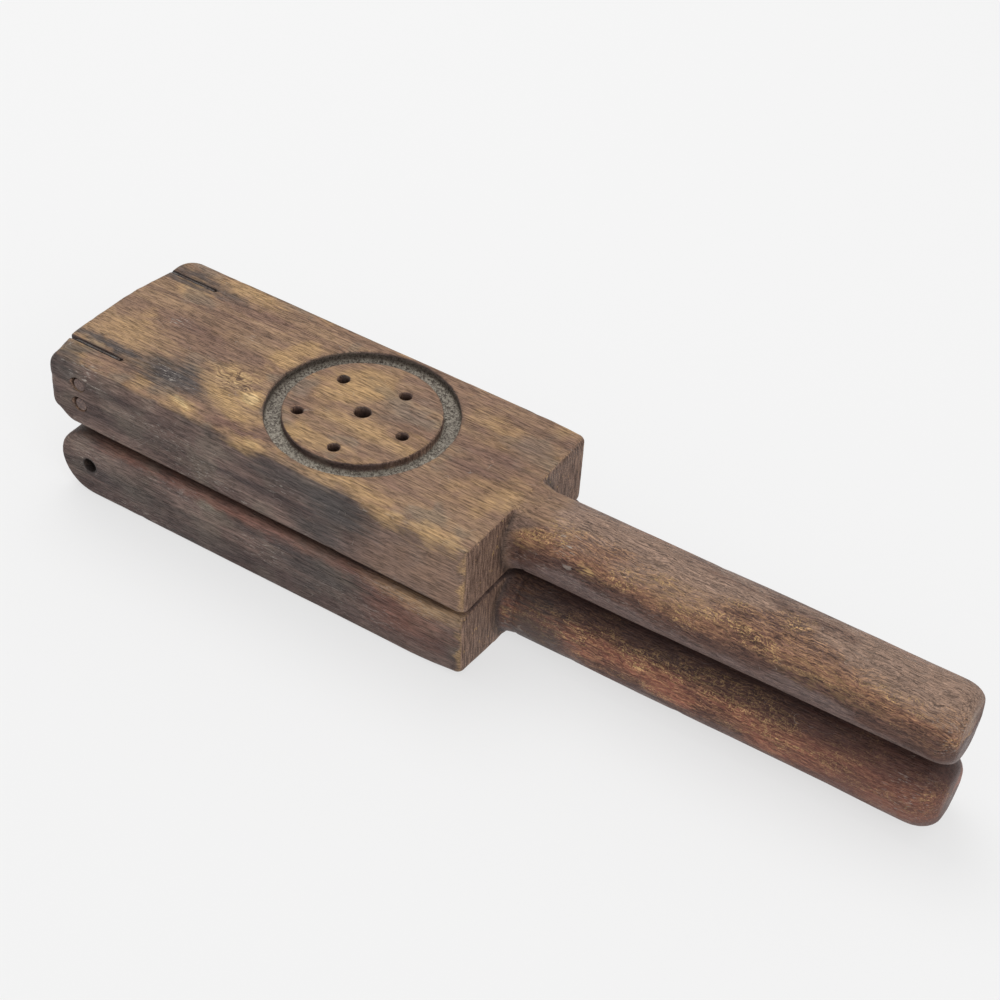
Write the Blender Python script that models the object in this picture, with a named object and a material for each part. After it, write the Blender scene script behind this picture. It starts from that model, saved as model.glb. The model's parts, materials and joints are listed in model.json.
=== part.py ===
"""Hinged wooden lemon squeezer, closed and lying with its drain side up.

Two paddles, each a board with a turned handle, are joined at one end by two iron
plates and a pivot pin. The lower paddle carries the pressing dome. The upper one
has the cup underneath, six drain holes and a ring groove on top.

Metres, +X from the hinge towards the handles, +Z up, z = 0 under the lower paddle,
x = y = 0 at the middle of the squeezer.
"""
from math import acos, atan2, cos, hypot, pi, radians, sin

import bmesh
import bpy
from mathutils import Matrix

# Boards
BLOCK_LENGTH = 0.160
BLOCK_WIDTH = 0.068
DRAIN_THICKNESS = 0.0248
PRESS_THICKNESS = 0.0251
EDGE_ROUND = 0.0012
HINGE_FRONT_CORNER_RADIUS = 0.0026
HINGE_REAR_CORNER_RADIUS = 0.006
SHOULDER_CORNER_RADIUS = 0.0025

# Handles
HANDLE_LENGTH = 0.146
DRAIN_HANDLE_RADIUS = 0.0129
DRAIN_TIP_RADIUS = 0.0125
DRAIN_HANDLE_SIDE_OFFSET = -0.0005
PRESS_HANDLE_RADIUS = 0.0129
PRESS_TIP_RADIUS = 0.0127
PRESS_HANDLE_LIFT = 0.0002
PRESS_HANDLE_SIDE_OFFSET = -0.0016
ROOT_RADIUS = 0.0150
ROOT_LENGTH = 0.006
ROOT_FLAT_LENGTH = 0.018
ROOT_OVERLAP = 0.010
DRAIN_TIP_ROUND = 0.007
DRAIN_TIP_FLAT_RADIUS = 0.0088
PRESS_TIP_ROUND = 0.009
PRESS_TIP_FLAT_RADIUS = 0.0070
HANDLES_GAP = 0.00045
BOARDS_GAP = 0.0003

# Hinge
PIVOT_INSET = 0.0115
HINGE_GAP = 0.00385
PIN_RADIUS = 0.00215
PIN_RECESS = 0.003
FRONT_KERF_Y = -0.0230
REAR_KERF_Y = 0.0244
PLATE_THICKNESS = 0.0011
PLATE_WIDTH = 0.020
PLATE_OVERHANG = 0.0011
PLATE_TOP_RECESS = 0.0004
PLATE_SIDE_CLEARANCE = 0.00055
PLATE_END_CLEARANCE = 0.0011
PLATE_TAPER_RISE = 0.00045
PEG_RADIUS = 0.0023
PEG_LENGTH = 0.020
PEG_RECESS = 0.0002
PEG_INSET = 0.0104
PEG_HEIGHTS = {"upper": 0.0166, "lower": 0.0087}
PIECE_CLEARANCE = 0.0003
FACE_STEP = 0.0001

# Drain side
DRAIN_CENTRE_X = 0.097
DRAIN_CENTRE_Y = 0.0015
DISC_RADIUS = 0.0255
GROOVE_WIDTH = 0.0055
GROOVE_DEPTH = 0.0035
CENTRE_HOLE_RADIUS = 0.00275
DRAIN_HOLE_RADIUS = 0.0020
# Distance and direction of each outer hole from the middle, drilled by eye.
DRAIN_HOLES = ((0.0178, 146.0), (0.0159, 67.0), (0.0204, 214.0), (0.0194, 279.0), (0.0170, 352.0))

# Cup and dome
CUP_RADIUS = 0.028
CUP_DEPTH = 0.017
PEEL_GAP_SIDE = 0.007
PEEL_GAP_TOP = 0.0065
DOME_RIM_HEIGHT = 0.0015
TENON_RADIUS = 0.008
TENON_LENGTH = 0.012

ROUND_SEGMENTS = 32
WIDE_SEGMENTS = 48
HOLE_SEGMENTS = 16
ARC_STEPS = 6
SMOOTH_ANGLE = radians(35)
CUT_THROUGH = 0.002

NOSE_RADIUS = PRESS_THICKNESS / 2
PIVOT_HEIGHT = PRESS_THICKNESS / 2
NOSE_X = PIVOT_INSET - NOSE_RADIUS
PIVOT_TO_DRAIN_PADDLE = NOSE_RADIUS + HINGE_GAP
KERF_WIDTH = PLATE_THICKNESS + 2 * PLATE_SIDE_CLEARANCE
KERF_DEPTH = PLATE_WIDTH - PLATE_OVERHANG + PLATE_END_CLEARANCE
PLATE_TAPER_START = NOSE_RADIUS + PLATE_TAPER_RISE
DOME_RADIUS = CUP_RADIUS - PEEL_GAP_SIDE
DOME_HEIGHT = CUP_DEPTH - PEEL_GAP_TOP
CENTRE_X = (NOSE_X + BLOCK_LENGTH + HANDLE_LENGTH) / 2
HALF_WIDTH = BLOCK_WIDTH / 2


def closed_tilt():
    """Slope of the upper paddle where its handle root or its board first meets the lower one."""
    along = BLOCK_LENGTH - PIVOT_INSET
    handle_level = PRESS_HANDLE_LIFT + 2 * PRESS_HANDLE_RADIUS + HANDLES_GAP + DRAIN_HANDLE_RADIUS
    stops = ((PIVOT_TO_DRAIN_PADDLE + DRAIN_THICKNESS / 2, handle_level),
             (PIVOT_TO_DRAIN_PADDLE, PRESS_THICKNESS + BOARDS_GAP))
    return min(acos((level - PIVOT_HEIGHT) / hypot(up, along)) - atan2(along, up)
               for up, level in stops)


def arc(centre, radii, start, end, steps=ARC_STEPS):
    """Points along an elliptical arc, angles in degrees."""
    angles = [radians(start + (end - start) * i / steps) for i in range(steps + 1)]
    return [(centre[0] + radii[0] * cos(a), centre[1] + radii[1] * sin(a)) for a in angles]


def extrude_outline(bm, points, direction):
    """Close an outline of 3-D points into a face and extrude it into a prism."""
    face = bm.faces.new([bm.verts.new(point) for point in points])
    grown = bmesh.ops.extrude_face_region(bm, geom=[face])["geom"]
    moved = [item for item in grown if isinstance(item, bmesh.types.BMVert)]
    bmesh.ops.translate(bm, verts=moved, vec=direction)


def add_box(bm, low, high):
    size = [high[i] - low[i] for i in range(3)]
    middle = [(high[i] + low[i]) / 2 for i in range(3)]
    place = Matrix.Translation(middle) @ Matrix.Diagonal((*size, 1.0))
    bmesh.ops.create_cube(bm, size=1.0, matrix=place)


def add_rod(bm, radius, start_y, end_y, x, z, segments=HOLE_SEGMENTS):
    """A cylinder along Y."""
    place = Matrix.Translation((x, (start_y + end_y) / 2, z)) @ Matrix.Rotation(pi / 2, 4, "X")
    bmesh.ops.create_cone(bm, cap_ends=True, segments=segments, radius1=radius, radius2=radius,
                          depth=abs(end_y - start_y), matrix=place)


def add_bore(bm, radius, x, y, bottom, top, segments=HOLE_SEGMENTS):
    """A cylinder along Z."""
    place = Matrix.Translation((x, y, (bottom + top) / 2))
    bmesh.ops.create_cone(bm, cap_ends=True, segments=segments, radius1=radius, radius2=radius,
                          depth=top - bottom, matrix=place)


def add_turned(bm, profile, place, segments):
    """Turn (length, radius) points about the local X axis, then put the result in place."""
    turned = bmesh.new()
    rim = [turned.verts.new((length, 0.0, radius)) for length, radius in profile]
    edges = [turned.edges.new(pair) for pair in zip(rim, rim[1:])]
    bmesh.ops.spin(turned, geom=edges + rim, axis=(1, 0, 0), cent=(0, 0, 0), angle=2 * pi,
                   steps=segments, use_merge=True)
    bmesh.ops.remove_doubles(turned, verts=turned.verts, dist=1e-6)
    turned.transform(place)
    piece = bpy.data.meshes.new("turned")
    turned.to_mesh(piece)
    turned.free()
    bm.from_mesh(piece)
    bpy.data.meshes.remove(piece)


def cap_profile(radius, height, steps=ARC_STEPS + 2):
    """Profile of a spherical cap from its rim to its pole, as (height, radius) points."""
    ball = (radius ** 2 + height ** 2) / (2 * height)
    rim_angle = atan2(ball - height, radius)
    angles = [rim_angle + (pi / 2 - rim_angle) * i / steps for i in range(steps)]
    points = [(ball * sin(a) - (ball - height), ball * cos(a)) for a in angles]
    return points + [(height, 0.0)]


def handle_profile(root_radius, tip_radius, tip_round, tip_flat):
    """A flare at the shoulder, a slight taper and a rounded end with a flat on it."""
    spread = ROOT_RADIUS - root_radius
    flare = arc((ROOT_LENGTH, ROOT_RADIUS), (ROOT_LENGTH, spread), 180, 270)
    end = arc((HANDLE_LENGTH - tip_round, tip_flat), (tip_round, tip_radius - tip_flat), 90, 0)
    return [(-ROOT_OVERLAP, 0.0), (-ROOT_OVERLAP, ROOT_RADIUS)] + flare + end + [(HANDLE_LENGTH, 0.0)]


def material(name, colour, roughness, metallic=0.0):
    made = bpy.data.materials.new(name)
    made.use_nodes = True
    shader = made.node_tree.nodes["Principled BSDF"]
    shader.inputs["Base Color"].default_value = (*colour, 1.0)
    shader.inputs["Roughness"].default_value = roughness
    shader.inputs["Metallic"].default_value = metallic
    made.diffuse_color = (*colour, 1.0)
    return made


def add_object(name, bm, parent, location, finish=None):
    """Turn a bmesh into an object under a parent empty."""
    bmesh.ops.recalc_face_normals(bm, faces=bm.faces)
    mesh = bpy.data.meshes.new(name)
    bm.to_mesh(mesh)
    bm.free()
    mesh.shade_smooth()
    mesh.set_sharp_from_angle(angle=SMOOTH_ANGLE)
    made = bpy.data.objects.new(name, mesh)
    made.parent = parent
    made.location = location
    bpy.context.collection.objects.link(made)
    if finish:
        mesh.materials.append(finish)
    return made


def add_tool(name, bm, piece):
    """A hidden helper solid in the same place as the piece that it shapes."""
    tool = add_object(name, bm, piece.parent, piece.location)
    tool.hide_render = True
    tool.display_type = "WIRE"
    return tool


def combine(piece, tool, operation):
    step = piece.modifiers.new(tool.name, "BOOLEAN")
    step.operation = operation
    step.object = tool
    step.solver = "EXACT"


def drain_block():
    """The upper board: its plan outline, extruded up and eased along the long edges."""
    front, rear, shoulder = HINGE_FRONT_CORNER_RADIUS, HINGE_REAR_CORNER_RADIUS, SHOULDER_CORNER_RADIUS
    side = HALF_WIDTH
    outline = arc((BLOCK_LENGTH - shoulder, side - shoulder), (shoulder,) * 2, 0, 90, 3)
    outline += arc((rear, side - rear), (rear,) * 2, 90, 180)
    outline += arc((front, front - side), (front,) * 2, 180, 270)
    outline += arc((BLOCK_LENGTH - shoulder, shoulder - side), (shoulder,) * 2, 270, 360, 3)
    bm = bmesh.new()
    extrude_outline(bm, [(x, y, 0.0) for x, y in outline], (0, 0, DRAIN_THICKNESS))
    round_long_edges(bm)
    return bm


def press_block():
    """The lower board: its side outline with the round nose, extruded across the width."""
    low, high = 0.0, PRESS_THICKNESS
    nose = arc((PIVOT_INSET, PIVOT_HEIGHT), (NOSE_RADIUS,) * 2, 90, 270, 16)
    outline = [(BLOCK_LENGTH, low), (BLOCK_LENGTH, high)] + nose
    bm = bmesh.new()
    extrude_outline(bm, [(x, -HALF_WIDTH, z) for x, z in outline], (0, BLOCK_WIDTH, 0))
    round_long_edges(bm)
    return bm


def round_long_edges(bm):
    """Bevel each edge of the outline, but not the one across the handle's shoulder."""
    def outline_edge(edge):
        a, b = (vert.co for vert in edge.verts)
        at_shoulder = min(a.x, b.x) > BLOCK_LENGTH - EDGE_ROUND and abs(a.y - b.y) > EDGE_ROUND
        return edge.calc_face_angle() > radians(60) and not at_shoulder

    edges = [edge for edge in bm.edges if outline_edge(edge)]
    bmesh.ops.bevel(bm, geom=edges, offset=EDGE_ROUND, segments=2, profile=0.5,
                    affect="EDGES", clamp_overlap=True)


def root_trim(thickness, radius, fades_below):
    """What the handle's root keeps: the board's thickness, opening out along the handle."""
    flat = thickness / 2 - FACE_STEP
    free = ROOT_RADIUS + CUT_THROUGH
    root, end = BLOCK_LENGTH, BLOCK_LENGTH + HANDLE_LENGTH + CUT_THROUGH
    start, faded = root - 2 * ROOT_OVERLAP, root + ROOT_FLAT_LENGTH
    above = [(start, flat), (root, flat), (faded, radius + PIECE_CLEARANCE),
             (faded + ROOT_LENGTH, free), (end, free)]
    below = above if fades_below else [(start, flat), (faded, flat), (faded, free), (end, free)]
    outline = above + [(x, -z) for x, z in reversed(below)]
    bm = bmesh.new()
    extrude_outline(bm, [(x, -HALF_WIDTH, thickness / 2 + z) for x, z in outline],
                    (0, BLOCK_WIDTH, 0))
    return bm


def add_handle(paddle, place, profile, trim):
    """Join a turned handle to its board, its root cut flat by the board's two faces."""
    turned = bmesh.new()
    add_turned(turned, profile, place, ROUND_SEGMENTS)
    handle = add_tool(paddle.name + "_handle", turned, paddle)
    combine(handle, add_tool(paddle.name + "_root_trim", trim, paddle), "INTERSECT")
    combine(paddle, handle, "UNION")


def add_kerfs(bm, thickness):
    """The two saw cuts that take the iron plates, open at the hinge end."""
    for y in (FRONT_KERF_Y, REAR_KERF_Y):
        low = (NOSE_X - CUT_THROUGH, y - KERF_WIDTH / 2, -CUT_THROUGH)
        add_box(bm, low, (KERF_DEPTH, y + KERF_WIDTH / 2, thickness + CUT_THROUGH))


def add_groove(bm):
    """A square-bottomed ring, turned about the middle of the drain holes."""
    floor, top = DRAIN_THICKNESS - GROOVE_DEPTH, DRAIN_THICKNESS + CUT_THROUGH
    outer = DISC_RADIUS + GROOVE_WIDTH
    section = ((floor, DISC_RADIUS), (floor, outer), (top, outer), (top, DISC_RADIUS))
    place = Matrix.Translation((DRAIN_CENTRE_X, DRAIN_CENTRE_Y, 0)) @ Matrix.Rotation(-pi / 2, 4, "Y")
    add_turned(bm, section + section[:1], place, WIDE_SEGMENTS)


def add_cup(bm):
    """The bowl under the drain holes, a spherical cap with its mouth downwards."""
    place = Matrix.Translation((DRAIN_CENTRE_X, DRAIN_CENTRE_Y, 0)) @ Matrix.Rotation(-pi / 2, 4, "Y")
    profile = [(-CUT_THROUGH, 0.0), (-CUT_THROUGH, CUP_RADIUS)] + cap_profile(CUP_RADIUS, CUP_DEPTH)
    add_turned(bm, profile, place, WIDE_SEGMENTS)


def add_drain_holes(bm):
    bottom, top = CUT_THROUGH, DRAIN_THICKNESS + CUT_THROUGH
    add_bore(bm, CENTRE_HOLE_RADIUS, DRAIN_CENTRE_X, DRAIN_CENTRE_Y, bottom, top)
    for distance, degrees in DRAIN_HOLES:
        x = DRAIN_CENTRE_X + distance * cos(radians(degrees))
        y = DRAIN_CENTRE_Y + distance * sin(radians(degrees))
        add_bore(bm, DRAIN_HOLE_RADIUS, x, y, bottom, top)


def add_peg_holes(bm):
    inner = HALF_WIDTH - PEG_RECESS - PEG_LENGTH - PIECE_CLEARANCE
    for side in (-1, 1):
        for z in PEG_HEIGHTS.values():
            add_rod(bm, PEG_RADIUS + PIECE_CLEARANCE, side * inner,
                    side * (HALF_WIDTH + CUT_THROUGH), PEG_INSET, z)


def make_drain_paddle(hinge, finish):
    place = (-PIVOT_INSET, 0, PIVOT_TO_DRAIN_PADDLE)
    paddle = add_object("drain_paddle", drain_block(), hinge, place, finish)
    root = Matrix.Translation((BLOCK_LENGTH, DRAIN_HANDLE_SIDE_OFFSET, DRAIN_THICKNESS / 2))
    level = Matrix.Rotation(-closed_tilt(), 4, "Y")
    profile = handle_profile(DRAIN_HANDLE_RADIUS, DRAIN_TIP_RADIUS, DRAIN_TIP_ROUND,
                             DRAIN_TIP_FLAT_RADIUS)
    trim = root_trim(DRAIN_THICKNESS, DRAIN_HANDLE_RADIUS, fades_below=True)
    add_handle(paddle, root @ level, profile, trim)
    hollows = bmesh.new()
    add_kerfs(hollows, DRAIN_THICKNESS)
    add_groove(hollows)
    add_cup(hollows)
    combine(paddle, add_tool("drain_paddle_hollows", hollows, paddle), "DIFFERENCE")
    holes = bmesh.new()
    add_drain_holes(holes)
    add_peg_holes(holes)
    combine(paddle, add_tool("drain_paddle_holes", holes, paddle), "DIFFERENCE")


def make_press_paddle(base, finish):
    paddle = add_object("press_paddle", press_block(), base, (0, 0, 0), finish)
    root = Matrix.Translation((BLOCK_LENGTH, PRESS_HANDLE_SIDE_OFFSET,
                               PRESS_HANDLE_LIFT + PRESS_HANDLE_RADIUS))
    profile = handle_profile(PRESS_HANDLE_RADIUS, PRESS_TIP_RADIUS, PRESS_TIP_ROUND,
                             PRESS_TIP_FLAT_RADIUS)
    trim = root_trim(PRESS_THICKNESS, PRESS_HANDLE_RADIUS + PRESS_HANDLE_LIFT, fades_below=False)
    add_handle(paddle, root, profile, trim)
    hollows = bmesh.new()
    add_kerfs(hollows, PRESS_THICKNESS)
    seat_floor = PRESS_THICKNESS - TENON_LENGTH - PIECE_CLEARANCE
    add_bore(hollows, TENON_RADIUS + PIECE_CLEARANCE, DRAIN_CENTRE_X, DRAIN_CENTRE_Y,
             seat_floor, PRESS_THICKNESS + CUT_THROUGH, WIDE_SEGMENTS)
    combine(paddle, add_tool("press_paddle_hollows", hollows, paddle), "DIFFERENCE")
    bore = bmesh.new()
    add_rod(bore, PIN_RADIUS + PIECE_CLEARANCE, -HALF_WIDTH - CUT_THROUGH,
            HALF_WIDTH + CUT_THROUGH, PIVOT_INSET, PIVOT_HEIGHT, ROUND_SEGMENTS)
    combine(paddle, add_tool("press_paddle_bore", bore, paddle), "DIFFERENCE")


def make_press_dome(base, finish):
    """The pressing dome with its rim and tenon, turned as one piece about Z."""
    cap_height = DOME_HEIGHT - DOME_RIM_HEIGHT
    cap = [(DOME_RIM_HEIGHT + z, r) for z, r in cap_profile(DOME_RADIUS, cap_height)]
    foot = [(-TENON_LENGTH, 0.0), (-TENON_LENGTH, TENON_RADIUS), (PIECE_CLEARANCE, TENON_RADIUS),
            (PIECE_CLEARANCE, DOME_RADIUS)]
    bm = bmesh.new()
    add_turned(bm, foot + cap, Matrix.Rotation(-pi / 2, 4, "Y"), WIDE_SEGMENTS)
    add_object("press_dome", bm, base, (DRAIN_CENTRE_X, DRAIN_CENTRE_Y, PRESS_THICKNESS), finish)


def make_pivot_pin(base, finish):
    bm = bmesh.new()
    reach = HALF_WIDTH - PIN_RECESS
    add_rod(bm, PIN_RADIUS, -reach, reach, 0, 0, ROUND_SEGMENTS)
    add_object("pivot_pin", bm, base, (PIVOT_INSET, 0, PIVOT_HEIGHT), finish)


def make_hinge_plate(name, y, hinge, finish):
    """An iron plate, pegged in the upper paddle, that turns on the pin in the lower one."""
    left = -PIVOT_INSET - PLATE_OVERHANG
    right = left + PLATE_WIDTH
    top = PIVOT_TO_DRAIN_PADDLE + DRAIN_THICKNESS - PLATE_TOP_RECESS
    lobe = arc((0, 0), (right, right), 0, -165, 14)
    outline = [(left, PLATE_TAPER_START), (left, top), (right, top)] + lobe
    bm = bmesh.new()
    extrude_outline(bm, [(x, -PLATE_THICKNESS / 2, z) for x, z in outline],
                    (0, PLATE_THICKNESS, 0))
    plate = add_object(name, bm, hinge, (0, y, 0), finish)
    holes = bmesh.new()
    add_rod(holes, PIN_RADIUS + PIECE_CLEARANCE, -KERF_WIDTH, KERF_WIDTH, 0, 0, ROUND_SEGMENTS)
    for height in PEG_HEIGHTS.values():
        add_rod(holes, PEG_RADIUS + PIECE_CLEARANCE, -KERF_WIDTH, KERF_WIDTH,
                PEG_INSET - PIVOT_INSET, PIVOT_TO_DRAIN_PADDLE + height)
    combine(plate, add_tool(name + "_holes", holes, plate), "DIFFERENCE")


def make_pegs(hinge, finish):
    """Two pegs through each plate, driven in from the paddle's two sides."""
    outer = HALF_WIDTH - PEG_RECESS
    for side_name, side in (("front", -1), ("rear", 1)):
        for level, height in PEG_HEIGHTS.items():
            bm = bmesh.new()
            add_rod(bm, PEG_RADIUS, side * (outer - PEG_LENGTH), side * outer, 0, 0)
            place = (PEG_INSET - PIVOT_INSET, 0, PIVOT_TO_DRAIN_PADDLE + height)
            add_object(f"{side_name}_{level}_peg", bm, hinge, place, finish)


def add_empty(name, location, tilt=0.0):
    made = bpy.data.objects.new(name, None)
    made.location = location
    made.rotation_euler = (0, tilt, 0)
    bpy.context.collection.objects.link(made)
    return made


def main():
    for old in list(bpy.data.objects):
        bpy.data.objects.remove(old)
    drain_wood = material("drain_wood", (0.28, 0.19, 0.12), 0.72)
    press_wood = material("press_wood", (0.20, 0.13, 0.085), 0.75)
    dome_wood = material("dome_wood", (0.34, 0.24, 0.15), 0.6)
    peg_wood = material("peg_wood", (0.33, 0.23, 0.14), 0.7)
    iron = material("iron", (0.16, 0.13, 0.11), 0.6, 0.8)

    base = add_empty("squeezer_base", (-CENTRE_X, 0, 0))
    hinge = add_empty("paddle_hinge", (PIVOT_INSET - CENTRE_X, 0, PIVOT_HEIGHT), closed_tilt())
    make_press_paddle(base, press_wood)
    make_press_dome(base, dome_wood)
    make_pivot_pin(base, iron)
    make_drain_paddle(hinge, drain_wood)
    make_hinge_plate("front_hinge_plate", FRONT_KERF_Y, hinge, iron)
    make_hinge_plate("rear_hinge_plate", REAR_KERF_Y, hinge, iron)
    make_pegs(hinge, peg_wood)


main()
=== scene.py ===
"""An old hinged lemon squeezer in worn beech, closed, drain side up, on a pale floor."""
import json
from math import atan2, cos, degrees, pi, radians, sin

import bmesh
import bpy
import numpy as np
from mathutils import Matrix, Vector


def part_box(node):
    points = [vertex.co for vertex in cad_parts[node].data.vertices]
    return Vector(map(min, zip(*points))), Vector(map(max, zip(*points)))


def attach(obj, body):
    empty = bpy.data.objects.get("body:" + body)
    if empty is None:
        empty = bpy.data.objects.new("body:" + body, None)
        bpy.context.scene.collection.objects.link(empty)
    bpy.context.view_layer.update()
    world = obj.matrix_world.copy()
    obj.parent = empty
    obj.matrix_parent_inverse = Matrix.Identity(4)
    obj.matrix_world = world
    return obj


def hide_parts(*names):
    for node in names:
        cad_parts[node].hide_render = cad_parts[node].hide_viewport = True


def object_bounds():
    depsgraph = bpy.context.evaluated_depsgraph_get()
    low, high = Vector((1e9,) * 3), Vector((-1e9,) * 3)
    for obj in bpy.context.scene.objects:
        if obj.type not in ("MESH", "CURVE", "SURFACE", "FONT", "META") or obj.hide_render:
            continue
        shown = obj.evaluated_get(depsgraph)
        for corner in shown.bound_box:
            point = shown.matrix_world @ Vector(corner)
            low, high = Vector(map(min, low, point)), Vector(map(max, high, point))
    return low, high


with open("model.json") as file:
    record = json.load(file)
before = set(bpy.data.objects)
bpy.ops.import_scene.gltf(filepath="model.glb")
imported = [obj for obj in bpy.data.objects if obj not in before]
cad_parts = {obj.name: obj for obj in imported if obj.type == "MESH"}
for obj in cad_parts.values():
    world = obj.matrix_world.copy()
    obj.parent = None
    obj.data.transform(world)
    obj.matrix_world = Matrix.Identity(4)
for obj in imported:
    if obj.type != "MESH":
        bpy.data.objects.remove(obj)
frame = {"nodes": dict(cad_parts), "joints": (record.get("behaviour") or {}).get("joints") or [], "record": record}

CAD_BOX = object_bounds()
MM = 0.001

# Boards and handles, in millimetres: x from the hinge end, y from the middle, z from the underside.
BOARD_LENGTH = 160.0
BOARD_HALF_WIDTH = 34.0
DRAIN_BOARD_HEIGHT = 24.8
PRESS_BOARD_HEIGHT = 25.1
PIVOT_INSET = 11.5
PIVOT_BELOW_DRAIN_BOARD = 16.4
DRAIN_HANDLE_Y = -0.5
DRAIN_HANDLE_Z = DRAIN_BOARD_HEIGHT / 2
PRESS_HANDLE_Y = -1.6
PRESS_HANDLE_Z = 13.1
DRAIN_CENTRE = (97.0, 1.5)
DISC_RADIUS = 25.5
GROOVE_OUTER = 31.0
GROOVE_DEPTH = 3.5
FRONT_KERF_Y = -23.0
REAR_KERF_Y = 24.4
KERF_DEPTH = 20.0
PLATE_START_X = -1.1
PLATE_TOP_Z = 24.4
PLATE_CORNER_RADIUS = 3.0

# Radii of the boards' corners, seen from above.
FRONT_CORNER = 2.6
REAR_CORNER = 6.0
PRESS_CORNER = 1.2
SHOULDER_CORNER = 2.5

# Where the camera is and what it looks at, in the lower board's millimetres.
CAMERA_START = Vector((389.4, -395.3, 442.9))
CAMERA_TARGET = Vector((152.70, -3.93, 47.82))

# How far the hinge end and the saw cuts' walls stray from true.
HINGE_END_SKEW = 2.8
KERF_PINCH = 0.35

WOOD_VOXEL = 0.5
IRON_VOXEL = 0.32
WOOD_TRIANGLES = 190000
NOISE_CELLS = 40
TINY = 1e-6
UP = np.array((0.0, 0.0, 1.0))

# These are in metres, in the row frame.
ROD_BEVEL = 0.0004
FLOOR_GAP = 0.0001
FLOOR_HALF_SIZE = 30.0
LIGHT_TARGET = (0, 0, 0.03)

# The lens in millimetres, and the roll in radians.
CAMERA_LENS = 72.06
CAMERA_ROLL = 0.053

JOINT = frame["joints"][0]
PIVOT = Vector(JOINT["pos_m"])
SEAT_NORMAL = next(m for m in frame["record"]["mounts"] if m["name"] == "glass_rim_seat")["axis"]
TILT = atan2(SEAT_NORMAL[0], SEAT_NORMAL[2])

# From board millimetres to the row frame.
PRESS_PLACE = (Matrix.Translation(Vector((PIVOT.x - PIVOT_INSET * MM, 0, 0)))
               @ Matrix.Scale(MM, 4))
DRAIN_PLACE = (Matrix.Translation(PIVOT) @ Matrix.Rotation(TILT, 4, "Y")
               @ Matrix.Translation(Vector((-PIVOT_INSET, 0, PIVOT_BELOW_DRAIN_BOARD)) * MM)
               @ Matrix.Scale(MM, 4))


# ---------------------------------------------------------------- noise and shaping of meshes

def wander(points, size, seed):
    """Smooth seeded noise between -1 and 1, with lumps of the given size in millimetres."""
    grid = np.random.default_rng(seed).uniform(-1, 1, (NOISE_CELLS,) * 3)
    cell = points / np.asarray(size, float)
    low = np.floor(cell).astype(int)
    part = cell - low
    part = part * part * (3 - 2 * part)
    total = np.zeros(len(points))
    for corner in np.ndindex(2, 2, 2):
        weight = np.prod(np.where(corner, part, 1 - part), axis=1)
        index = (low + corner) % NOISE_CELLS
        total += weight * grid[index[:, 0], index[:, 1], index[:, 2]]
    return total


def fade(value, low, high):
    """0 below low and 1 above high, with a smooth step between."""
    part = np.clip((value - low) / (high - low), 0, 1)
    return part * part * (3 - 2 * part)


def bump_at(points, centre, radii):
    """A soft hill of height 1 at the centre."""
    away = (points - np.asarray(centre, float)) / np.asarray(radii, float)
    return np.exp(-np.sum(away * away, axis=1))


def ease_edge(points, across, outward, below, upward, radius):
    """Round an edge over: across and below are the distances in from its two faces."""
    gap_across, gap_below = radius - across, radius - below
    reach = np.hypot(gap_across, gap_below)
    near = (across < radius) & (below < radius) & (across > -0.6) & (below > -0.6)
    near &= reach > radius
    cut = np.where(near, 1 - radius / np.maximum(reach, TINY), 0)[:, None]
    points -= cut * (gap_across[:, None] * outward + gap_below[:, None] * upward)


def plan_distance(points, start, front_corner, rear_corner):
    """Distance in from a board's plan outline, and the outline's outward direction."""
    middle, half = (start + BOARD_LENGTH) / 2, (BOARD_LENGTH - start) / 2
    corner = np.where(points[:, 1] < 0, front_corner, rear_corner)
    corner = np.where(points[:, 0] < middle, corner, SHOULDER_CORNER)
    side = points[:, :2] - (middle, 0)
    over = np.abs(side) - np.column_stack((half - corner, BOARD_HALF_WIDTH - corner))
    outside = np.maximum(over, 0)
    reach = np.hypot(outside[:, 0], outside[:, 1])
    inside = corner - reach - np.minimum(over.max(axis=1), 0)
    straight = np.column_stack((over[:, 0] > over[:, 1], over[:, 0] <= over[:, 1])).astype(float)
    round_part = outside / np.maximum(reach, TINY)[:, None]
    direction = np.where((reach > 0)[:, None], round_part, straight) * np.sign(side)
    return inside, np.column_stack((direction, np.zeros(len(points))))


def dent(points, normals, spots):
    """Press small hollows into a surface: a spot is a centre, a radius and a depth."""
    for centre, radius, depth in spots:
        points -= normals * (depth * bump_at(points, centre, (radius,) * 3))[:, None]


def scattered_dents(points, count, seed):
    """Seeded knocks anywhere on a piece, 0.08 to 0.35 mm deep."""
    rng = np.random.default_rng(seed)
    chosen = points[rng.integers(0, len(points), count)]
    return [(centre, rng.uniform(0.8, 2.6), rng.uniform(0.08, 0.35)) for centre in chosen]


def roughen(points, normals, seed):
    """The long soft waves and the short fibres that planed and worn wood has."""
    long_waves = 0.10 * wander(points, (38, 9, 9), seed)
    short_waves = 0.045 * wander(points, (14, 3, 3), seed + 1)
    fibres = 0.03 * wander(points, (7, 0.9, 0.9), seed + 2)
    points += normals * (long_waves + short_waves + fibres)[:, None]


def node_copy(node, place):
    """A merged copy of a CAD node's mesh, taken out of its place in the row frame."""
    bm = bmesh.new()
    bm.from_mesh(frame["nodes"][node].data)
    bmesh.ops.remove_doubles(bm, verts=bm.verts, dist=TINY)
    bmesh.ops.transform(bm, matrix=place.inverted(), verts=bm.verts)
    mesh = bpy.data.meshes.new(node + "_copy")
    bm.to_mesh(mesh)
    bm.free()
    return mesh


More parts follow.
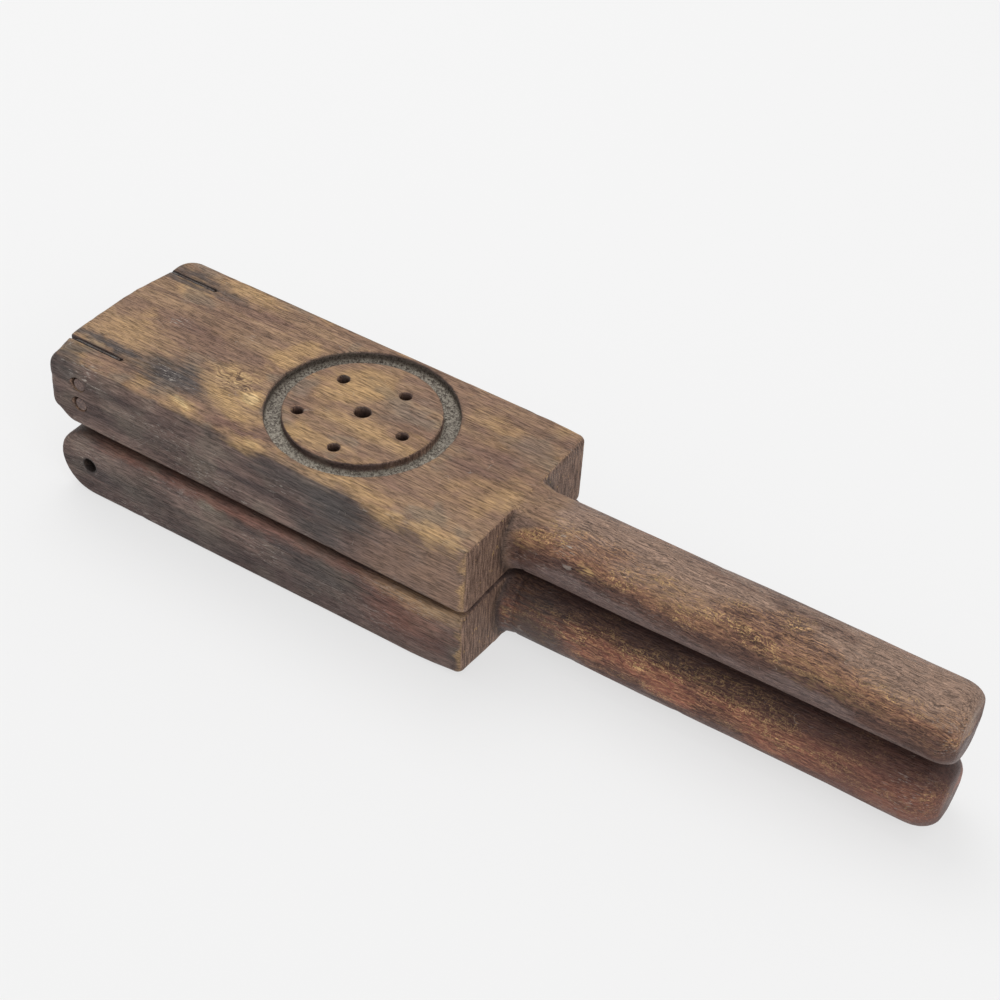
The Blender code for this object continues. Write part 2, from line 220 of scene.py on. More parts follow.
def with_modifiers(mesh, *steps):
    """The mesh after a list of (modifier kind, settings)."""
    helper = bpy.data.objects.new("helper", mesh)
    bpy.context.collection.objects.link(helper)
    for kind, settings in steps:
        modifier = helper.modifiers.new(kind, kind)
        for key, value in settings.items():
            setattr(modifier, key, value)
    graph = bpy.context.evaluated_depsgraph_get()
    made = bpy.data.meshes.new_from_object(helper.evaluated_get(graph))
    bpy.data.objects.remove(helper)
    bpy.data.meshes.remove(mesh)
    return made


def read_points(mesh):
    points = np.empty(len(mesh.vertices) * 3)
    mesh.vertices.foreach_get("co", points)
    normals = np.empty(len(mesh.vertices) * 3)
    mesh.vertices.foreach_get("normal", normals)
    return points.reshape(-1, 3), normals.reshape(-1, 3)


def write_points(mesh, points):
    mesh.vertices.foreach_set("co", np.ravel(points))
    mesh.update()


def fine_mesh(node, place, voxel, shape):
    """A dense copy of a CAD node, worn by the shape function and placed in the row frame."""
    remesh = {"mode": "VOXEL", "voxel_size": voxel, "use_smooth_shade": True}
    mesh = with_modifiers(node_copy(node, place), ("REMESH", remesh),
                          ("SMOOTH", {"factor": 0.5, "iterations": 2}))
    points, normals = read_points(mesh)
    shape(points, normals)
    write_points(mesh, points)
    triangles = sum(len(face.vertices) - 2 for face in mesh.polygons)
    if triangles > WOOD_TRIANGLES:
        mesh = with_modifiers(mesh, ("DECIMATE", {"ratio": WOOD_TRIANGLES / triangles}))
    mesh.transform(place)
    mesh.shade_smooth()
    return mesh


# ---------------------------------------------------------------- wear of each piece

def ease_board(points, start, height, top_radius, bottom_radius, corners):
    """Round a board's upper and lower edges by radii that change along them."""
    inside, outward = plan_distance(points, start, *corners)
    inside = np.where(points[:, 0] > BOARD_LENGTH + 0.3, 9, inside)
    ease_edge(points, inside, outward, height - points[:, 2], UP, top_radius)
    ease_edge(points, inside, outward, points[:, 2].copy(), -UP, bottom_radius)


def shape_handle(points, normals, middle_y, middle_z, seed):
    """Slight unevenness of a hand-held turned handle, and the turned line at its root."""
    from_board = points[:, 0] - BOARD_LENGTH
    lumps = 0.16 * wander(points, (30, 12, 12), seed) + 0.05 * wander(points, (8, 4, 4), seed + 1)
    line = -0.28 * np.exp(-((from_board - 5.2) / 0.55) ** 2)
    reach = np.hypot(points[:, 1] - middle_y, points[:, 2] - middle_z)
    line = np.where(reach > 10, line, 0)
    points += normals * (fade(from_board, 0.5, 6) * lumps + line)[:, None]


def skew_hinge_end(points):
    """Leave the hinge-end face a little out of true, as it was sawn: longer at the front."""
    near_end = fade(14 - points[:, 0], 0, 14)
    points[:, 0] -= HINGE_END_SKEW * near_end * fade(-points[:, 1], -26, -2)


def pinch_kerfs(points):
    """Narrow the saw cuts, whose walls have swollen and filled with dirt."""
    for middle in (FRONT_KERF_Y, REAR_KERF_Y):
        off = points[:, 1] - middle
        beside = (points[:, 0] < KERF_DEPTH + 1) & (np.abs(off) < 3)
        inward = KERF_PINCH * fade(3 - np.abs(off), 0, 1.8)
        points[:, 1] -= np.where(beside, np.sign(off) * inward, 0)


def near_root(points, middle_y):
    """1 along the shoulder where the handle grows out of the board, which has no edge there."""
    from_handle = np.abs(points[:, 1] - middle_y)
    return fade(points[:, 0], 150, 158) * fade(15.5 - from_handle, 0, 2)


def nibbled(points, seed):
    """Uneven change of an edge's radius, from long wear and small nicks."""
    return 0.5 * wander(points, (12, 6, 6), seed) + 0.35 * wander(points, (3, 3, 3), seed + 1)


def corner_wear(points, corner_x, corner_y, reach_x, reach_y):
    """1 at a board's corner, falling off round it."""
    along, across = points[:, 0] - corner_x, points[:, 1] - corner_y
    return np.exp(-((along / reach_x) ** 2 + (across / reach_y) ** 2))


def shape_drain_paddle(points, normals):
    """The upper paddle: its front edge is worn round towards the hinge end."""
    x, y = points[:, 0].copy(), points[:, 1].copy()
    pinch_kerfs(points)
    roughen(points, normals, 11)
    shape_handle(points, normals, DRAIN_HANDLE_Y, DRAIN_HANDLE_Z, 21)
    shape_groove(points)
    uneven = nibbled(points, 31)
    worn_front = fade(-y, 20, 30) * (2.6 * fade(108 - x, 0, 45) + 0.4)
    was = np.column_stack((x, y))
    corner = 1.6 * corner_wear(was, 0, -BOARD_HALF_WIDTH, 7, 8)
    far_corner = 1.6 * corner_wear(was, BOARD_LENGTH, BOARD_HALF_WIDTH, 9, 9)
    hinge_end = 0.3 * fade(8 - x, 0, 8)
    top = 0.8 + worn_front + corner + far_corner + hinge_end + uneven * 0.6
    top *= 1 - 0.9 * near_root(was, DRAIN_HANDLE_Y)
    front_hinge_end = 4.0 * fade(8 - x, 0, 6) * fade(-y, 5, 30)
    bottom = 0.8 + front_hinge_end + 1.6 * fade(6 - x, 0, 6) + 0.3 * uneven
    ease_board(points, 0, DRAIN_BOARD_HEIGHT, np.clip(top, 0.35, 7), np.clip(bottom, 0.35, 6),
               (FRONT_CORNER, REAR_CORNER))
    skew_hinge_end(points)
    dent(points, normals, scattered_dents(points, 90, 41))


def shape_groove(points):
    """The groove's chattered floor and its chipped edges."""
    away = points[:, :2] - DRAIN_CENTRE
    reach = np.hypot(away[:, 0], away[:, 1])
    angle = np.arctan2(away[:, 1], away[:, 0])
    depth = DRAIN_BOARD_HEIGHT - points[:, 2]
    on_floor = (reach > DISC_RADIUS - 0.3) & (reach < GROOVE_OUTER + 0.3)
    on_floor &= (depth < GROOVE_DEPTH + 1.0) & (depth > GROOVE_DEPTH - 1.5)
    near_right = 0.35 + 0.65 * np.exp(-((angle + radians(35)) / 0.8) ** 2)
    marks = 0.16 * np.sin(84 * angle + 2.2 * wander(points, 4, 52)) * near_right
    grit = 0.20 * wander(points, 1.1, 53) + 0.12 * wander(points, 2.5, 54)
    points[:, 2] += np.where(on_floor, marks + grit, 0)
    chips = np.clip(wander(points, (2.2, 2.2, 3), 55), 0, 1) * 0.5
    outward = np.column_stack((away / np.maximum(reach, TINY)[:, None], np.zeros(len(points))))
    ease_edge(points, DISC_RADIUS - reach, outward, depth, UP, 0.45 + chips)
    ease_edge(points, reach - GROOVE_OUTER, -outward, depth, UP, 0.5 + chips)


def shape_press_paddle(points, normals):
    """The lower paddle, which rests flat on its underside."""
    x, y = points[:, 0].copy(), points[:, 1].copy()
    roughen(points, normals, 61)
    shape_handle(points, normals, PRESS_HANDLE_Y, PRESS_HANDLE_Z, 71)
    uneven = nibbled(points, 81)
    worn_front = fade(-y, 20, 30) * (1.7 * fade(100 - x, 0, 30) * fade(x, 8, 16) + 0.3)
    was = np.column_stack((x, y))
    near_corner = 2.4 * corner_wear(was, BOARD_LENGTH, -BOARD_HALF_WIDTH, 10, 12)
    away_from_root = 1 - 0.9 * near_root(was, 0)
    top = (0.7 + worn_front + 0.5 * uneven) * away_from_root
    bottom = (1.3 + near_corner + 0.4 * uneven) * away_from_root
    ease_board(points, -1, PRESS_BOARD_HEIGHT, np.clip(top, 0.3, 5), np.clip(bottom, 0.3, 4),
               (PRESS_CORNER, PRESS_CORNER))
    dent(points, normals, scattered_dents(points, 90, 91))
    points[:, 2] = np.maximum(points[:, 2], 0)


def shape_iron(points, normals):
    """Shallow hammer marks and rust pitting, and worn-round outer corners."""
    gap_x = PLATE_CORNER_RADIUS - (points[:, 0] - PLATE_START_X)
    gap_z = points[:, 2] - (PLATE_TOP_Z - PLATE_CORNER_RADIUS)
    reach = np.hypot(gap_x, gap_z)
    cut = (gap_x > 0) & (gap_z > 0) & (reach > PLATE_CORNER_RADIUS)
    pull = np.where(cut, 1 - PLATE_CORNER_RADIUS / np.maximum(reach, TINY), 0)
    points[:, 0] += pull * gap_x
    points[:, 2] -= pull * gap_z
    points += normals * (0.05 * wander(points, 3.5, 5) + 0.035 * wander(points, 0.8, 6))[:, None]


# ---------------------------------------------------------------- materials

def srgb(red, green, blue):
    """A display colour, 0 to 255, as a linear one."""
    return tuple((v / 255 / 12.92) if v <= 10 else ((v / 255 + 0.055) / 1.055) ** 2.4
                 for v in (red, green, blue))


GOLD = srgb(192, 156, 108)
TAN = srgb(160, 130, 100)
PURPLE_BROWN = srgb(126, 98, 84)
DUSK = srgb(112, 84, 74)
DARK_BROWN = srgb(70, 50, 42)
GREY_STAIN = srgb(78, 71, 69)
SIDE_TONE = srgb(124, 102, 93)
SIDE_DARK = srgb(80, 65, 62)
SIDE_WARM = srgb(140, 112, 94)
REDDISH = srgb(134, 86, 70)
OLIVE = srgb(128, 118, 104)
SCUFF = srgb(186, 176, 166)
BRIGHT_GOLD = srgb(210, 178, 130)
HANDLE_TOP = srgb(142, 117, 102)
HANDLE_GOLD = srgb(170, 130, 94)
HANDLE_RED = srgb(124, 88, 72)
# A dark handle tone, used for dark clouds and as painted shade.
HANDLE_DARK_AND_SHADE = srgb(78, 55, 50)
# A pale painted sheen for the handles' undersides.
PAINTED_HANDLE_SHEEN = srgb(110, 92, 88)
HANDLE_SHADE = srgb(58, 42, 40)
HANDLE_RUSSET = srgb(142, 88, 71)
HANDLE_MAROON = srgb(104, 68, 60)
END_LIGHT = srgb(160, 130, 112)
END_SPECK = srgb(134, 108, 93)
IRON_GREY = srgb(88, 84, 82)
RUST = srgb(78, 52, 40)
ASH = srgb(176, 168, 154)
ASH_DARK = srgb(82, 73, 66)
NEAR_BLACK = srgb(34, 28, 26)
WOOD_SHEEN = 0.25

# Patches: centre, reach each way, turn about the upright in degrees, strength.
TOP = DRAIN_BOARD_HEIGHT
FRONT = -BOARD_HALF_WIDTH
GOLD_ON_TOP = (
    ((65, -14, TOP), (5, 3.6, 6), -10, 1.0), ((58, -19, TOP), (15, 3.4, 6), -22, 0.75),
    ((49, -28.5, TOP), (7, 2.4, 6), -8, 1.0), ((80, -31.5, 24), (5, 2, 5), 0, 0.85),
    ((112, -29.5, TOP), (16, 4, 5), 3, 0.6), ((30, 30, TOP), (13, 4, 6), 0, 0.6),
    ((12, -10, TOP), (14, 6, 6), 0, 0.45), ((101, -5, TOP), (14, 4, 3), 0, 0.55),
    ((93, -18, TOP), (12, 4, 3), 8, 0.5), ((52, -8, TOP), (8, 5, 6), 0, 0.5),
    ((88, 12, TOP), (10, 5, 3), 0, 0.35))
# Golden wear along the front edge; the last patch, upright on the shoulder's corner, is a painted highlight.
GOLD_WEAR_AND_CORNER_HIGHLIGHT = (
    ((148, -31.5, 24), (9, 3, 4), 0, 0.7), ((131, -33, 23.5), (8, 3, 3), 0, 0.6),
    ((76, -33, 24), (7, 2.5, 2), 0, 0.6), ((160, FRONT, 13), (1.5, 3, 12), 0, 0.6))
HANDLE_GLOW = (
    ((166, -10, 20), (6, 4, 5), 0, 0.6), ((188, -12, 17.5), (2.2, 1.6, 1.8), 0, 0.9),
    ((218, -9, 21), (14, 4, 4), 0, 0.28), ((266, -11, 18), (14, 4, 4), 0, 0.3),
    ((170, -6, 24), (10, 3, 3), 0, 0.3))
DUSKY = (
    ((70, -28.6, TOP), (12, 2.2, 5), 3, 0.8), ((79, -8, TOP), (6, 4, 3), 0, 0.6),
    ((113, 3.5, TOP), (11, 3, 3), 0, 0.5), ((46, 26, TOP), (14, 6, 6), 0, 0.4),
    ((76, 31, TOP), (24, 3.4, 6), 0, 0.45), ((144, 6, TOP), (14, 22, 6), 0, 0.5),
    ((30, 8, TOP), (14, 10, 6), 0, 0.45), ((40, -5, TOP), (9, 6, 5), 0, 0.35),
    ((134, -2, TOP), (6, 10, 6), 0, 0.3), ((100, -31, TOP), (6, 2, 4), 0, 0.4))
SOOTY = (
    ((37, -20, TOP), (14, 7.5, 8), -4, 1.0), ((12, -19, TOP), (17, 2.0, 5), 0, 0.95),
    ((4, -30, 22), (6, 7, 6), 0, 0.8), ((9, 27, TOP), (14, 2.2, 7), 0, 0.85),
    ((10, 22.2, TOP), (14, 1.8, 7), 0, 0.85), ((24, 25, TOP), (8, 1.8, 5), -5, 0.7),
    ((112, FRONT, 18), (13, 5, 7), 0, 1.0), ((96, FRONT, 20), (16, 4, 6), 0, 0.7),
    ((106, FRONT, 5), (10, 5, 4), 0, 0.85), ((60, FRONT, 24.2), (12, 2.6, 2), 0, 0.5))
DRAIN_RUBBED = (
    ((13, FRONT, 21), (8, 4, 4), 0, 0.85), ((21, 3.5, TOP), (3.5, 2.6, 3), 0, 0.8),
    ((38, -21, TOP), (9, 4, 4), -20, 0.75), ((47, 10, TOP), (4, 2, 3), 0, 0.5),
    ((44, FRONT, 14), (16, 4, 5), 0, 0.4), ((60, FRONT, 6), (16, 4, 4), 0, 0.45),
    ((94, FRONT, 15), (6, 4, 3), 0, 0.5), ((180, -9, 22), (4, 4, 4), 0, 0.8),
    ((80, FRONT, 0.8), (90, 3, 1.2), 0, 0.5), ((190, -13.4, 12), (40, 3, 3), 0, 0.35),
    ((303, -8, 18), (4, 6, 6), 0, 0.6), ((161, 12, 22), (3, 5, 4), 0, 0.8))
PRESS_RUBBED = (
    ((10, FRONT, 16), (8, 4, 7), 0, 0.5), ((50, FRONT, 20), (18, 4, 4), 0, 0.35),
    ((84, FRONT, 14), (12, 4, 6), 0, 0.45), ((120, FRONT, 9), (20, 4, 5), 0, 0.35),
    ((140, FRONT, 22), (18, 4, 4), 0, 0.4), ((30, FRONT, 3), (20, 4, 3), 0, 0.35),
    ((296, -12, 14), (8, 6, 8), 0, 0.5))
PRESS_MARKS = (
    ((104, FRONT, 14), (16, 6, 7), 0, 0.65), ((30, FRONT, 12), (24, 6, 8), 0, 0.35),
    ((60, FRONT, 5), (22, 6, 4), 0, 0.35), ((50, FRONT, 1.7), (10, 5, 0.5), 0, 1.0))
PRESS_RED = (
    ((84, FRONT, 23), (56, 5, 3), 0, 0.5), ((140, FRONT, 16), (16, 6, 9), 0, 0.5),
    ((28, FRONT, 24), (12, 5, 3), 0, 0.5))
# Golden wear on the front edge, and a painted highlight upright on the shoulder's corner.
PRESS_GOLD_AND_CORNER_HIGHLIGHT = (
    ((146, FRONT, 24), (18, 5, 4), 0, 0.45), ((160, FRONT, 12), (1.3, 3, 11), 0, 0.45))
PRESS_OLIVE = (((63, FRONT, 20.5), (5, 3, 1.8), 0, 0.8),)
PRESS_HANDLE_GREY = (((173, -12, 11), (14, 12, 12), 0, 0.85),)
PRESS_HANDLE_MAROON = (((288, -12, 14), (32, 12, 12), 0, 0.6),)


class Finish:
    """A material's node tree, with short calls for the nodes that the finishes share."""

    def __init__(self, name, place):
        self.material = bpy.data.materials.new(name)
        self.material.use_nodes = True
        self.tree = self.material.node_tree
        self.shader = self.tree.nodes["Principled BSDF"]
        back = place.inverted()
        texture = self.node("ShaderNodeTexCoord")
        self.normal = texture.outputs["Normal"]
        self.coords = self.mapped(texture.outputs["Object"], back.translation,
                                  [degrees(v) for v in back.to_euler()], (1 / MM,) * 3)
        split = self.node("ShaderNodeSeparateXYZ")
        self.link(self.coords, split.inputs[0])
        self.x, self.y, self.z = split.outputs
        self.up = self.facing(place.to_3x3().col[2].normalized())
        self.uneven = self.pushed(self.coords, 0.16, (9, 7, 7), 3)

    def node(self, kind, **settings):
        made = self.tree.nodes.new(kind)
        for key, value in settings.items():
            setattr(made, key, value)
        return made

    def link(self, source, target):
        """Join a socket to an input, or set the input to a plain value."""
        if isinstance(source, bpy.types.NodeSocket):
            self.tree.links.new(source, target)
        elif target.type == "RGBA" and len(source) == 3:
            target.default_value = (*source, 1)
        else:
            target.default_value = source

    def math(self, operation, a, b=0.0):
        made = self.node("ShaderNodeMath", operation=operation)
        self.link(a, made.inputs[0])
        self.link(b, made.inputs[1])
        return made.outputs[0]

    def times(self, first, *others):
        for other in others:
            first = self.math("MULTIPLY", first, other)
        return first

    def plus(self, first, *others):
        for other in others:
            first = self.math("ADD", first, other)
        return first

    def vector(self, operation, a, b=(0, 0, 0), scale=None):
        made = self.node("ShaderNodeVectorMath", operation=operation)
        self.link(a, made.inputs[0])
        self.link(b, made.inputs[1])
        if scale is not None:
            self.link(scale, made.inputs["Scale"])
        return made.outputs["Value" if operation in ("LENGTH", "DISTANCE", "DOT_PRODUCT") else 0]

    def mapped(self, coords, location=(0, 0, 0), turn=(0, 0, 0), scale=(1, 1, 1), kind="POINT"):
        made = self.node("ShaderNodeMapping", vector_type=kind)
        self.link(coords, made.inputs["Vector"])
        self.link(location, made.inputs["Location"])
        self.link([radians(v) for v in turn], made.inputs["Rotation"])
        self.link(scale, made.inputs["Scale"])
        return made.outputs["Vector"]

    def noise(self, coords, scale, detail=2.0, roughness=0.55, colour=False):
        """Noise of about `scale` lumps a millimetre; a tuple gives it for each direction."""
        if isinstance(scale, tuple):
            coords, scale = self.mapped(coords, scale=scale), 1.0
        made = self.node("ShaderNodeTexNoise", noise_dimensions="3D")
        self.link(coords, made.inputs["Vector"])
        self.link(scale, made.inputs["Scale"])
        self.link(detail, made.inputs["Detail"])
        self.link(roughness, made.inputs["Roughness"])
        return made.outputs["Color" if colour else "Fac"]

    def step(self, value, low, high, start=0.0, end=1.0):
        """Smooth step from start at low to end at high; low may be the larger."""
        made = self.node("ShaderNodeMapRange", interpolation_type="SMOOTHSTEP")
        for key, setting in zip(("Value", "From Min", "From Max", "To Min", "To Max"),
                                (value, low, high, start, end)):
            self.link(setting, made.inputs[key])
        return made.outputs["Result"]

    def mix(self, factor, a, b):
        made = self.node("ShaderNodeMix", data_type="RGBA", clamp_factor=True)
        self.link(factor, made.inputs[0])
        self.link(a, made.inputs[6])
        self.link(b, made.inputs[7])
        return made.outputs[2]

    def facing(self, axis):
        """How far the surface faces along an axis, 0 to 1, either way."""
        return self.math("ABSOLUTE", self.vector("DOT_PRODUCT", self.normal, axis))

    def pushed(self, coords, scale, amount, detail=2.0):
        """Coordinates pushed about by noise, by up to half the amounts in millimetres."""
        push = self.vector("SUBTRACT", self.noise(coords, scale, detail, colour=True), (0.5,) * 3)
        return self.vector("ADD", coords, self.vector("MULTIPLY", push, amount))

    def patches(self, table):
        """The strongest of a table of soft patches at each place, ragged along the grain."""
        streaks = self.noise(self.coords, (0.05, 0.9, 0.9), 3.0, 0.65)
        ragged = self.times(self.plus(streaks, -0.5), 1.9)
        strongest = None
        for centre, radii, turn, strength in table:
            near = self.mapped(self.uneven, centre, (0, 0, turn), radii, "TEXTURE")
            reach = self.plus(self.vector("LENGTH", near), ragged)
            patch = self.step(reach, 1.6, 0.25, 0.0, strength)
            strongest = self.math("MAXIMUM", strongest, patch) if strongest else patch
        return strongest

    def grain(self, seed):
        """Brightness of wood with its grain along X, its relief, and its slow change of tone."""
        start = self.mapped(self.coords, (seed * 37.0, seed * 11.0, seed * 5.0))
        wavy = self.pushed(start, (0.014, 0.05, 0.05), (0, 2.2, 2.2), 1.0)
        ripple = self.noise(wavy, (0.020, 0.95, 0.95), 2.0, 0.6)
        lines = self.noise(wavy, (0.07, 2.8, 2.8), 3.0, 0.75)
        dashes = self.noise(wavy, (0.26, 3.0, 3.0), 1.0)
        pores = self.step(dashes, 0.56, 0.64)
        flecks = self.step(dashes, 0.42, 0.34)
        light = self.plus(self.times(ripple, 0.8), self.times(lines, 1.7), -0.25)
        light = self.plus(light, self.times(pores, -0.28), self.times(flecks, 0.32))
        relief = self.plus(self.times(lines, 1.2), self.times(pores, -0.9))
        broad = self.step(self.noise(wavy, (0.012, 0.17, 0.17), 3.0), 0.34, 0.66)
        return self.math("MAXIMUM", light, 0.3), relief, broad

    def scratches(self, seed):
        """Thin lines at a few slants, only in some places."""
        total = None
        for turn in (18, -38, 64, -8):
            lie = self.mapped(self.coords, (seed * 13.0 + turn, 0, 0), (turn * 0.7, turn * 0.4, turn))
            ridge = self.noise(lie, (0.018, 0.22, 0.22), 0.0)
            line = self.step(self.math("ABSOLUTE", self.plus(ridge, -0.5)), 0.0035, 0.0014)
            here = self.step(self.noise(lie, (0.09, 0.16, 0.16), 2.0), 0.60, 0.66)
            line = self.times(line, here)
            total = self.math("MAXIMUM", total, line) if total else line
        return total

    def rubbed(self, table):
        """Pale dry specks and short dashes where a surface has been knocked about."""
        specks = self.step(self.noise(self.coords, (0.45, 1.9, 1.9), 3.0, 0.7), 0.55, 0.66)
        return self.times(self.patches(table), specks)

    def lit(self, colour, light):
        """A colour made lighter or darker by a brightness."""
        return self.vector("SCALE", colour, scale=light)

    def bump(self, height, depth):
        """Surface relief of the given depth in millimetres."""
        made = self.node("ShaderNodeBump")
        self.link(1.0, made.inputs["Strength"])
        self.link(depth * MM, made.inputs["Distance"])
        self.link(height, made.inputs["Height"])
        return made.outputs["Normal"]

    def away_from(self, coords, keep, centre):
        """Distance from a centre, over the directions that keep marks with 1."""
        return self.vector("DISTANCE", self.vector("MULTIPLY", coords, keep), centre)

    def finish(self, colour, roughness, normal, **constants):
        self.link(colour, self.shader.inputs["Base Color"])
        self.link(roughness, self.shader.inputs["Roughness"])
        self.link(normal, self.shader.inputs["Normal"])
        for name, value in constants.items():
            self.shader.inputs[name.replace("_", " ")].default_value = value
        return self.material


def board_top(f, broad, blotch):
    """Tan, purple-brown and olive clouds, with the top's dusky and golden patches."""
    colour = f.mix(f.plus(f.times(broad, 0.6), 0.25), PURPLE_BROWN, TAN)
    colour = f.mix(f.times(f.step(blotch, 0.48, 0.66), 0.55), colour, GOLD)
    dusk = f.step(f.noise(f.uneven, (0.03, 0.10, 0.10), 2.0), 0.48, 0.64)
    colour = f.mix(f.times(dusk, 0.6), colour, PURPLE_BROWN)
    moss = f.step(f.noise(f.uneven, (0.045, 0.07, 0.07), 2.0), 0.54, 0.66)
    colour = f.mix(f.times(moss, 0.45), colour, OLIVE)
    colour = f.mix(f.patches(DUSKY), colour, DUSK)
    golden = f.patches(GOLD_ON_TOP + GOLD_WEAR_AND_CORNER_HIGHLIGHT)
    brightest = f.mix(f.step(golden, 0.75, 1.0), GOLD, BRIGHT_GOLD)
    return f.mix(golden, colour, brightest)


def board_side(f, broad, blotch):
    """The sides' greyer brown, with darker and olive clouds."""
    colour = f.mix(broad, SIDE_DARK, SIDE_TONE)
    colour = f.mix(f.times(f.step(blotch, 0.42, 0.64), 0.45), colour, SIDE_DARK)
    moss = f.step(f.noise(f.uneven, 0.045, 2.0), 0.5, 0.65)
    return f.mix(f.times(moss, 0.35), colour, OLIVE)


def drain_wood():
    """The upper paddle: board, handle, groove and painted shade on its underside."""
    f = Finish("worn_drain_paddle_wood", DRAIN_PLACE)
    light, relief, broad = f.grain(1)
    blotch = f.noise(f.coords, 0.055, 3.0)
    top = board_top(f, broad, blotch)
    side = board_side(f, broad, blotch)
    warm = f.times(f.step(f.x, 112.0, 140.0), f.step(blotch, 0.35, 0.6, 0.4, 0.9))
    side = f.mix(warm, side, SIDE_WARM)
    side = f.mix(f.patches(GOLD_WEAR_AND_CORNER_HIGHLIGHT), side, GOLD)
    ragged = f.times(f.noise(f.coords, (0.06, 0.5, 0.5), 3.0), 0.5)
    colour = f.mix(f.step(f.plus(f.up, ragged), 0.85, 1.15), side, top)
    colour = f.mix(f.patches(SOOTY), colour, GREY_STAIN)
    colour = knot(f, colour)
    colour = end_grain(f, colour, 1)
    colour = f.lit(colour, light)
    # The board's tone runs on over the top of the handle's root.
    carried_on = f.step(f.z, 18.5, 24.0, 0.0, 9.0)
    uneven_start = f.times(f.plus(blotch, -0.5), 12.0, f.step(f.z, 18.5, 24.0))
    reach = f.plus(f.x, f.times(carried_on, -1.0), uneven_start)
    on_handle = f.step(reach, BOARD_LENGTH - 0.2, BOARD_LENGTH + 4.5)
    colour = f.mix(on_handle, colour, drain_handle(f))
    colour = groove_tones(f, colour)
    colour = f.mix(f.times(f.scratches(2), 0.38), colour, SCUFF)
    colour = f.mix(f.rubbed(DRAIN_RUBBED), colour, SCUFF)
    colour = crease(f, colour, DRAIN_HANDLE_Y, DRAIN_HANDLE_Z)
    # Painted shade on the underside, in the gap between the boards, uneven in strength.
    uneven_gap_shade = f.step(f.noise(f.uneven, 0.05, 2.0), 0.34, 0.62, 0.3, 0.85)
    gap = f.times(f.step(f.z, 1.6, 0.2), f.step(f.x, BOARD_LENGTH - 1.5, BOARD_LENGTH - 6), uneven_gap_shade)
    colour = f.mix(gap, colour, DARK_BROWN)
    roughness = f.plus(f.step(blotch, 0.3, 0.7, 0.5, 0.72), f.times(on_handle, -0.1))
    return f.finish(colour, roughness, f.bump(relief, 0.2), Specular_IOR_Level=WOOD_SHEEN)


def drain_handle(f):
    """The upper handle's tones, with golden glows near the hand and painted shade on its underside."""
    handle = handle_tones(f, 1, DRAIN_HANDLE_Y, DRAIN_HANDLE_Z, HANDLE_RED, HANDLE_TOP, 1.0)
    broken = f.step(f.noise(f.coords, (0.3, 1.6, 1.6), 2.0), 0.42, 0.6)
    handle = f.mix(f.times(f.patches(HANDLE_GLOW), broken), handle, GOLD)
    # Painted shade on the underside, where it faces the lower handle.
    return f.mix(f.times(f.step(f.z, 3.2, 0.4), 0.8), handle, HANDLE_SHADE)


def knot(f, colour):
    """Bent, broken lines round a small knot beside the groove."""
    centre = (55, -9, 24.8)
    reach = f.vector("LENGTH", f.mapped(f.uneven, centre, scale=(10, 6, 6), kind="TEXTURE"))
    here = f.step(reach, 1.3, 0.3)
    bent = f.pushed(f.pushed(f.coords, 0.12, (22, 16, 0), 1.0), 0.5, (3, 3, 0))
    lines = f.noise(bent, (0.35, 1.2, 0.4), 2.0, 0.6)
    colour = f.mix(f.times(here, f.step(lines, 0.54, 0.62), 0.75), colour, DARK_BROWN)
    return f.mix(f.times(here, f.step(lines, 0.46, 0.38), 0.6), colour, BRIGHT_GOLD)


def groove_tones(f, colour):
    """Ash-grey gritty floor, darker walls, and brown walls in the drilled holes."""
    away = f.away_from(f.coords, (1, 1, 0), (*DRAIN_CENTRE, 0))
    above_cup = f.step(f.z, 18.5, 19.5)
    grit = f.noise(f.coords, 1.25, 3.0, 0.85)
    low = f.step(f.z, DRAIN_BOARD_HEIGHT - 0.3, DRAIN_BOARD_HEIGHT - 0.9)
    floor = DRAIN_BOARD_HEIGHT - GROOVE_DEPTH
    near_floor = f.step(f.z, floor + 1.6, floor + 0.4)
    in_ring = f.times(f.step(away, DISC_RADIUS - 0.3, DISC_RADIUS + 0.3),
                      f.step(away, GROOVE_OUTER + 0.5, GROOVE_OUTER - 0.1), low, above_cup)
    outer_wall = f.times(f.step(away, DISC_RADIUS + 2.5, GROOVE_OUTER - 0.5), 0.4)
    shade = f.step(f.plus(f.times(f.x, -0.03), f.times(f.y, 0.05)), -2.2, -4.6, 0.0, 1.0)
    ash = f.mix(f.plus(f.times(f.step(grit, 0.40, 0.60), 0.85), f.times(shade, 0.15)), ASH_DARK, ASH)
    wall = f.mix(outer_wall, f.mix(f.step(grit, 0.45, 0.6), NEAR_BLACK, DARK_BROWN), ash)
    colour = f.mix(in_ring, colour, f.mix(near_floor, wall, ash))
    lip = f.times(f.step(away, GROOVE_OUTER + 1.4, GROOVE_OUTER + 0.1),
                  f.step(away, GROOVE_OUTER - 0.5, GROOVE_OUTER), above_cup)
    colour = f.mix(f.times(lip, f.step(grit, 0.42, 0.6), 0.5), colour, ASH_DARK)
    inside = f.times(f.step(away, DISC_RADIUS - 1.2, DISC_RADIUS - 1.8), above_cup,
                     f.step(f.z, DRAIN_BOARD_HEIGHT - 0.3, DRAIN_BOARD_HEIGHT - 2.5))
    return f.mix(f.times(inside, 0.8), colour, DARK_BROWN)


def crease(f, colour, middle_y, middle_z):
    """Darker in the corner where the handle meets the board's shoulder."""
    from_axis = f.away_from(f.coords, (0, 1, 1), (0, middle_y, middle_z))
    beside_handle = f.step(from_axis, 16.8, 15.2)
    from_shoulder = f.math("ABSOLUTE", f.plus(f.x, -BOARD_LENGTH - 0.3))
    near_face = f.step(from_shoulder, 1.8, 0.2)
    below_top = f.step(f.z, 24.3, 22.6)
    return f.mix(f.times(beside_handle, near_face, below_top, 0.5), colour, NEAR_BLACK)


